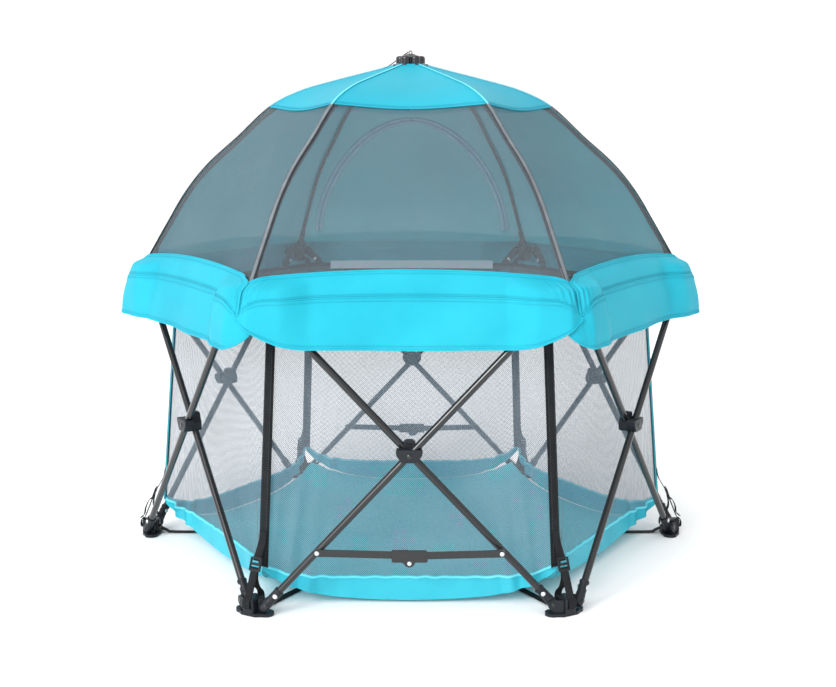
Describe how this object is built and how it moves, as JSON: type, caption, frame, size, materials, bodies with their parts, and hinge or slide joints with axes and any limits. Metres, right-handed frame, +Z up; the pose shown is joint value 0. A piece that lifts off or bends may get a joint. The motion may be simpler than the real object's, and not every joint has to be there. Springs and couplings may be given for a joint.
{
  "type": "playpen",
  "caption": "Hexagonal folding playpen with crossed black tubes, mesh walls, cyan floor and skirt, and a domed mesh canopy on curved ribs",
  "frame": {"origin": "on the ground under the middle of the hexagon", "axes": "X through two opposite corners, Y through the front and rear panels with the front panel at -Y, Z up"},
  "size_m": [1.4006, 1.25, 1.2167],
  "materials": {
    "tube_black": "satin powder coat",
    "plastic_black": "fine matte",
    "crown_black": "gloss",
    "rod_black": "satin",
    "webbing_black": "woven webbing",
    "wall_mesh": "open mesh",
    "floor_cyan": "coated weave",
    "canopy_cyan": "plain weave",
    "canopy_grey_mesh": "fine mesh",
    "zip_tape": "zip tape",
    "cord_black": "braided cord"
  },
  "bodies": {
    "foot_0": {"foot_0": "plastic_black"},
    "top_0": {"top_corner_0": "plastic_black"},
    "outer_tube_0": {"tube_outer_0": "tube_black", "boots_outer_0": "plastic_black"},
    "inner_tube_0": {"tube_inner_0": "tube_black", "boots_inner_0": "plastic_black"},
    "rib_0": {"rib_0": "rod_black"},
    "foot_1": {"foot_1": "plastic_black"},
    "top_1": {"top_corner_1": "plastic_black"},
    "outer_tube_1": {"tube_outer_1": "tube_black", "boots_outer_1": "plastic_black"},
    "inner_tube_1": {"tube_inner_1": "tube_black", "boots_inner_1": "plastic_black"},
    "rib_1": {"rib_1": "rod_black"},
    "foot_2": {"foot_2": "plastic_black"},
    "top_2": {"top_corner_2": "plastic_black"},
    "outer_tube_2": {"tube_outer_2": "tube_black", "boots_outer_2": "plastic_black"},
    "inner_tube_2": {"tube_inner_2": "tube_black", "boots_inner_2": "plastic_black"},
    "rib_2": {"rib_2": "rod_black"},
    "foot_3": {"foot_3": "plastic_black"},
    "top_3": {"top_corner_3": "plastic_black"},
    "outer_tube_3": {"tube_outer_3": "tube_black", "boots_outer_3": "plastic_black"},
    "inner_tube_3": {"tube_inner_3": "tube_black", "boots_inner_3": "plastic_black"},
    "rib_3": {"rib_3": "rod_black"},
    "base": {"foot_4": "plastic_black", "walls": "wall_mesh", "floor": "floor_cyan", "corner_webbing": "webbing_black", "straps": "webbing_black", "valance": "canopy_cyan"},
    "top_4": {"top_corner_4": "plastic_black"},
    "outer_tube_4": {"tube_outer_4": "tube_black", "boots_outer_4": "plastic_black"},
    "inner_tube_4": {"tube_inner_4": "tube_black", "boots_inner_4": "plastic_black"},
    "rib_4": {"rib_4": "rod_black"},
    "foot_5": {"foot_5": "plastic_black"},
    "top_5": {"top_corner_5": "plastic_black"},
    "outer_tube_5": {"tube_outer_5": "tube_black", "boots_outer_5": "plastic_black"},
    "inner_tube_5": {"tube_inner_5": "tube_black", "boots_inner_5": "plastic_black"},
    "rib_5": {"rib_5": "rod_black"},
    "lock_front_a": {"lock_bar_front_a": "tube_black"},
    "lock_front_b": {"lock_bar_front_b": "tube_black"},
    "lock_rear_a": {"lock_bar_rear_a": "tube_black"},
    "lock_rear_b": {"lock_bar_rear_b": "tube_black"},
    "crown": {"crown": "crown_black", "crown_eyelet": "crown_black", "runner": "plastic_black", "canopy_cap": "canopy_cyan", "canopy_mesh": "canopy_grey_mesh", "canopy_back": "canopy_cyan", "door_zip": "zip_tape", "draw_cord": "cord_black"}
  },
  "joints": [
    {"name": "fold", "type": "hinge", "parent": "base", "child": "outer_tube_4", "pos_m": [-0.306, -0.5972, 0.024], "axis": [0, -1, 0], "range_deg": [0, 37], "deforming": ["walls", "floor", "corner_webbing", "straps", "valance", "canopy_cap", "canopy_mesh", "canopy_back", "door_zip", "draw_cord"]},
    {"name": "cross_4", "type": "hinge", "parent": "outer_tube_4", "child": "inner_tube_4", "pos_m": [0, -0.5889, 0.35121], "axis": [0, 1, 0], "range_deg": [0, 74]},
    {"name": "foot_hinge_5", "type": "hinge", "parent": "inner_tube_4", "child": "foot_5", "pos_m": [0.306, -0.5806, 0.024], "axis": [0, -1, 0], "range_deg": [0, 37]},
    {"name": "top_hinge_5", "type": "hinge", "parent": "outer_tube_4", "child": "top_5", "pos_m": [0.306, -0.5972, 0.67842], "axis": [0, 1, 0], "range_deg": [0, 37]},
    {"name": "top_hinge_4", "type": "hinge", "parent": "inner_tube_4", "child": "top_4", "pos_m": [-0.306, -0.5806, 0.67842], "axis": [0, -1, 0], "range_deg": [0, 37]},
    {"name": "tube_hinge_5", "type": "hinge", "parent": "foot_5", "child": "outer_tube_5", "pos_m": [0.36419, -0.5636, 0.024], "axis": [0.866, -0.5, 0], "range_deg": [0, 37]},
    {"name": "cross_5", "type": "hinge", "parent": "outer_tube_5", "child": "inner_tube_5", "pos_m": [0.51, -0.29445, 0.35121], "axis": [-0.866, 0.5, 0], "range_deg": [0, 74]},
    {"name": "foot_hinge_0", "type": "hinge", "parent": "inner_tube_5", "child": "foot_0", "pos_m": [0.65581, -0.02529, 0.024], "axis": [0.866, -0.5, 0], "range_deg": [0, 37]},
    {"name": "top_hinge_0", "type": "hinge", "parent": "outer_tube_5", "child": "top_0", "pos_m": [0.67019, -0.03359, 0.67842], "axis": [-0.866, 0.5, 0], "range_deg": [0, 37]},
    {"name": "tube_hinge_0", "type": "hinge", "parent": "foot_0", "child": "outer_tube_0", "pos_m": [0.67019, 0.03359, 0.024], "axis": [0.866, 0.5, 0], "range_deg": [0, 37]},
    {"name": "cross_0", "type": "hinge", "parent": "outer_tube_0", "child": "inner_tube_0", "pos_m": [0.51, 0.29445, 0.35121], "axis": [-0.866, -0.5, 0], "range_deg": [0, 74]},
    {"name": "foot_hinge_1", "type": "hinge", "parent": "inner_tube_0", "child": "foot_1", "pos_m": [0.34981, 0.5553, 0.024], "axis": [0.866, 0.5, 0], "range_deg": [0, 37]},
    {"name": "top_hinge_1", "type": "hinge", "parent": "outer_tube_0", "child": "top_1", "pos_m": [0.36419, 0.5636, 0.67842], "axis": [-0.866, -0.5, 0], "range_deg": [0, 37]},
    {"name": "tube_hinge_3", "type": "hinge", "parent": "base", "child": "inner_tube_3", "pos_m": [-0.34981, -0.5553, 0.024], "axis": [0.866, 0.5, 0], "range_deg": [0, 37]},
    {"name": "cross_3", "type": "hinge", "parent": "inner_tube_3", "child": "outer_tube_3", "pos_m": [-0.51, -0.29445, 0.35121], "axis": [-0.866, -0.5, 0], "range_deg": [0, 74]},
    {"name": "foot_hinge_3", "type": "hinge", "parent": "outer_tube_3", "child": "foot_3", "pos_m": [-0.67019, -0.03359, 0.024], "axis": [0.866, 0.5, 0], "range_deg": [0, 37]},
    {"name": "top_hinge_3", "type": "hinge", "parent": "inner_tube_3", "child": "top_3", "pos_m": [-0.65581, -0.02529, 0.67842], "axis": [-0.866, -0.5, 0], "range_deg": [0, 37]},
    {"name": "tube_hinge_2", "type": "hinge", "parent": "foot_3", "child": "inner_tube_2", "pos_m": [-0.65581, 0.02529, 0.024], "axis": [0.866, -0.5, 0], "range_deg": [0, 37]},
    {"name": "cross_2", "type": "hinge", "parent": "inner_tube_2", "child": "outer_tube_2", "pos_m": [-0.51, 0.29445, 0.35121], "axis": [-0.866, 0.5, 0], "range_deg": [0, 74]},
    {"name": "foot_hinge_2", "type": "hinge", "parent": "outer_tube_2", "child": "foot_2", "pos_m": [-0.36419, 0.5636, 0.024], "axis": [0.866, -0.5, 0], "range_deg": [0, 37]},
    {"name": "top_hinge_2", "type": "hinge", "parent": "inner_tube_2", "child": "top_2", "pos_m": [-0.34981, 0.5553, 0.67842], "axis": [-0.866, 0.5, 0], "range_deg": [0, 37]},
    {"name": "tube_hinge_1", "type": "hinge", "parent": "foot_2", "child": "inner_tube_1", "pos_m": [-0.306, 0.5806, 0.024], "axis": [0, -1, 0], "range_deg": [0, 37]},
    {"name": "cross_1", "type": "hinge", "parent": "inner_tube_1", "child": "outer_tube_1", "pos_m": [0, 0.5889, 0.35121], "axis": [0, 1, 0], "range_deg": [0, 74]},
    {"name": "lock_hinge_front_a", "type": "hinge", "parent": "outer_tube_4", "child": "lock_front_a", "pos_m": [-0.19467, -0.5972, 0.14305], "axis": [0, -1, 0], "range_deg": [0, 49.99]},
    {"name": "lock_hinge_front_b", "type": "hinge", "parent": "inner_tube_4", "child": "lock_front_b", "pos_m": [0.19467, -0.5806, 0.14305], "axis": [0, 1, 0], "range_deg": [0, 49.99]},
    {"name": "lock_hinge_rear_a", "type": "hinge", "parent": "outer_tube_1", "child": "lock_rear_a", "pos_m": [0.19467, 0.5972, 0.14305], "axis": [0, 1, 0], "range_deg": [0, 49.99]},
    {"name": "lock_hinge_rear_b", "type": "hinge", "parent": "inner_tube_1", "child": "lock_rear_b", "pos_m": [-0.19467, 0.5806, 0.14305], "axis": [0, -1, 0], "range_deg": [0, 49.99]},
    {"name": "rib_hinge_0", "type": "hinge", "parent": "top_0", "child": "rib_0", "pos_m": [0.651, 0, 0.702], "axis": [0, 1, 0], "range_deg": [0, 45]},
    {"name": "rib_hinge_1", "type": "hinge", "parent": "top_1", "child": "rib_1", "pos_m": [0.3255, 0.56378, 0.702], "axis": [-0.866, 0.5, 0], "range_deg": [0, 45]},
    {"name": "rib_hinge_2", "type": "hinge", "parent": "top_2", "child": "rib_2", "pos_m": [-0.3255, 0.56378, 0.702], "axis": [-0.866, -0.5, 0], "range_deg": [0, 45]},
    {"name": "rib_hinge_3", "type": "hinge", "parent": "top_3", "child": "rib_3", "pos_m": [-0.651, 0, 0.702], "axis": [0, -1, 0], "range_deg": [0, 45]},
    {"name": "rib_hinge_4", "type": "hinge", "parent": "top_4", "child": "rib_4", "pos_m": [-0.3255, -0.56378, 0.702], "axis": [0.866, -0.5, 0], "range_deg": [0, 45]},
    {"name": "rib_hinge_5", "type": "hinge", "parent": "top_5", "child": "rib_5", "pos_m": [0.3255, -0.56378, 0.702], "axis": [0.866, 0.5, 0], "range_deg": [0, 45]},
    {"name": "crown_hinge", "type": "hinge", "parent": "rib_4", "child": "crown", "pos_m": [-0.015, -0.02598, 1.176], "axis": [-0.866, 0.5, 0], "range_deg": [0, 45]}
  ],
  "couplings": [
    {"joint": "cross_4", "follows": "fold", "ratio": 2},
    {"joint": "foot_hinge_5", "follows": "fold", "ratio": 1},
    {"joint": "top_hinge_5", "follows": "fold", "ratio": 1},
    {"joint": "top_hinge_4", "follows": "fold", "ratio": 1},
    {"joint": "tube_hinge_5", "follows": "fold", "ratio": 1},
    {"joint": "cross_5", "follows": "fold", "ratio": 2},
    {"joint": "foot_hinge_0", "follows": "fold", "ratio": 1},
    {"joint": "top_hinge_0", "follows": "fold", "ratio": 1},
    {"joint": "tube_hinge_0", "follows": "fold", "ratio": 1},
    {"joint": "cross_0", "follows": "fold", "ratio": 2},
    {"joint": "foot_hinge_1", "follows": "fold", "ratio": 1},
    {"joint": "top_hinge_1", "follows": "fold", "ratio": 1},
    {"joint": "tube_hinge_3", "follows": "fold", "ratio": 1},
    {"joint": "cross_3", "follows": "fold", "ratio": 2},
    {"joint": "foot_hinge_3", "follows": "fold", "ratio": 1},
    {"joint": "top_hinge_3", "follows": "fold", "ratio": 1},
    {"joint": "tube_hinge_2", "follows": "fold", "ratio": 1},
    {"joint": "cross_2", "follows": "fold", "ratio": 2},
    {"joint": "foot_hinge_2", "follows": "fold", "ratio": 1},
    {"joint": "top_hinge_2", "follows": "fold", "ratio": 1},
    {"joint": "tube_hinge_1", "follows": "fold", "ratio": 1},
    {"joint": "cross_1", "follows": "fold", "ratio": 2},
    {"joint": "lock_hinge_front_a", "follows": "fold", "ratio": 1.3511},
    {"joint": "lock_hinge_front_b", "follows": "fold", "ratio": 1.3511},
    {"joint": "lock_hinge_rear_a", "follows": "fold", "ratio": 1.3511},
    {"joint": "lock_hinge_rear_b", "follows": "fold", "ratio": 1.3511},
    {"joint": "rib_hinge_0", "follows": "fold", "ratio": 1.2163},
    {"joint": "rib_hinge_1", "follows": "fold", "ratio": 1.2163},
    {"joint": "rib_hinge_2", "follows": "fold", "ratio": 1.2163},
    {"joint": "rib_hinge_3", "follows": "fold", "ratio": 1.2163},
    {"joint": "rib_hinge_4", "follows": "fold", "ratio": 1.2163},
    {"joint": "rib_hinge_5", "follows": "fold", "ratio": 1.2163},
    {"joint": "crown_hinge", "follows": "fold", "ratio": 1.2163}
  ]
}
